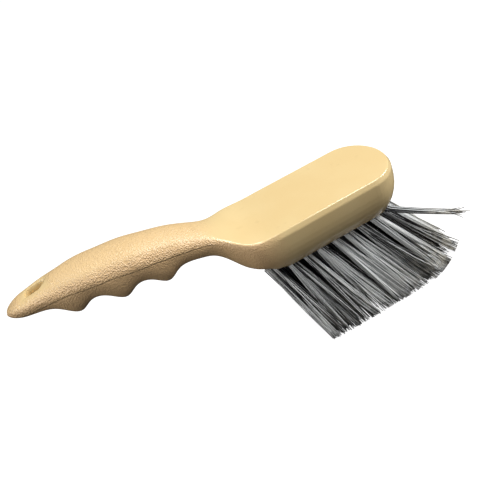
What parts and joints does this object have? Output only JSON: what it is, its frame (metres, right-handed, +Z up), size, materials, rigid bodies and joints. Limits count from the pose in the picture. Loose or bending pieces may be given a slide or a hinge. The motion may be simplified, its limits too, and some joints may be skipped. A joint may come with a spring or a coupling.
{
  "type": "grout brush",
  "caption": "Hand grout brush: a one-piece plastic handle and block with finger grips and a hang slot, and raked tufts of stiff grey filament.",
  "frame": {"origin": "middle of the brush's outline on the surface it stands on, with its trimmed bristle tips down", "axes": "+X along the block from the handle to the rounded toe, +Z up out of the block's flat top, +Y to the far side"},
  "size_m": [0.2404, 0.0567, 0.1071],
  "materials": {
    "body": "satin tan moulding, pebbled on the handle",
    "filament": "mixed white, grey and black stiff filament",
    "anchor": "plain flat wire"
  },
  "bodies": {
    "root": {"handle_block": "body", "wire_anchors": "anchor", "tuft_a1": "filament", "tuft_a2": "filament", "tuft_a3": "filament", "tuft_a4": "filament", "tuft_a5": "filament", "tuft_a6": "filament", "tuft_a7": "filament", "tuft_a8": "filament", "tuft_stray": "filament", "tuft_b1": "filament", "tuft_b2": "filament", "tuft_b3": "filament", "tuft_b4": "filament", "tuft_b5": "filament", "tuft_b6": "filament", "tuft_b7": "filament", "tuft_b8": "filament", "tuft_c1": "filament", "tuft_c2": "filament", "tuft_c3": "filament", "tuft_c4": "filament", "tuft_c5": "filament", "tuft_c6": "filament", "tuft_c7": "filament", "tuft_c8": "filament", "tuft_c9": "filament", "tuft_d1": "filament", "tuft_d2": "filament", "tuft_d3": "filament", "tuft_d4": "filament", "tuft_d5": "filament", "tuft_d6": "filament", "tuft_d7": "filament", "tuft_d8": "filament", "tuft_e1": "filament", "tuft_e2": "filament", "tuft_e3": "filament", "tuft_e4": "filament", "tuft_e5": "filament", "tuft_e6": "filament", "tuft_e7": "filament", "tuft_e8": "filament", "tuft_e9": "filament"}
  },
  "joints": []
}
